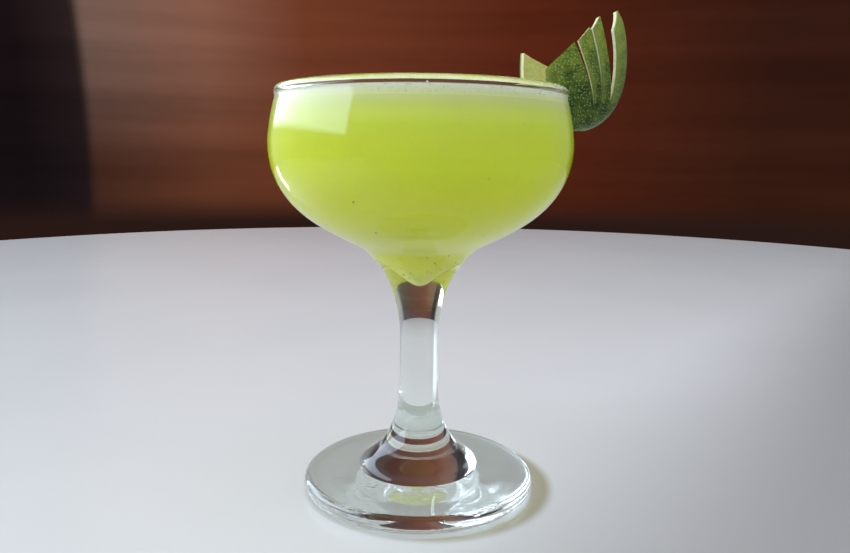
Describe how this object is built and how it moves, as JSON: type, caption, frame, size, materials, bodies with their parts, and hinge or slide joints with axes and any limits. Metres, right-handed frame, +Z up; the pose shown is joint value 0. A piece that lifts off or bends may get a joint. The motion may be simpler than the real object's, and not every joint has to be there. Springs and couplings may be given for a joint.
{
  "type": "cocktail in a coupe glass with a lime peel fan",
  "caption": "Cloudy green drink with a pale froth, filled almost to the brim of a stemmed coupe glass, with a fan cut from lime peel standing on the rim.",
  "frame": {"origin": "centre of the foot's flat underside, on the axis of the glass", "axes": "+Z up along the axis of the glass, +X towards the side where the peel stands on the rim, -Y towards the viewer of the picture"},
  "size_m": [0.1079, 0.09, 0.1471],
  "materials": {
    "clear_glass": "clear pressed glass, smooth and glossy",
    "cloudy_drink": "cloudy yellow-green juice drink with fine dark specks",
    "froth": "thin pale froth of very small bubbles",
    "lime_peel": "waxy green lime skin with fine pores, pale pith inside"
  },
  "bodies": {
    "root": {"glass": "clear_glass", "drink": "cloudy_drink", "froth": "froth", "lime_peel": "lime_peel"}
  },
  "joints": []
}
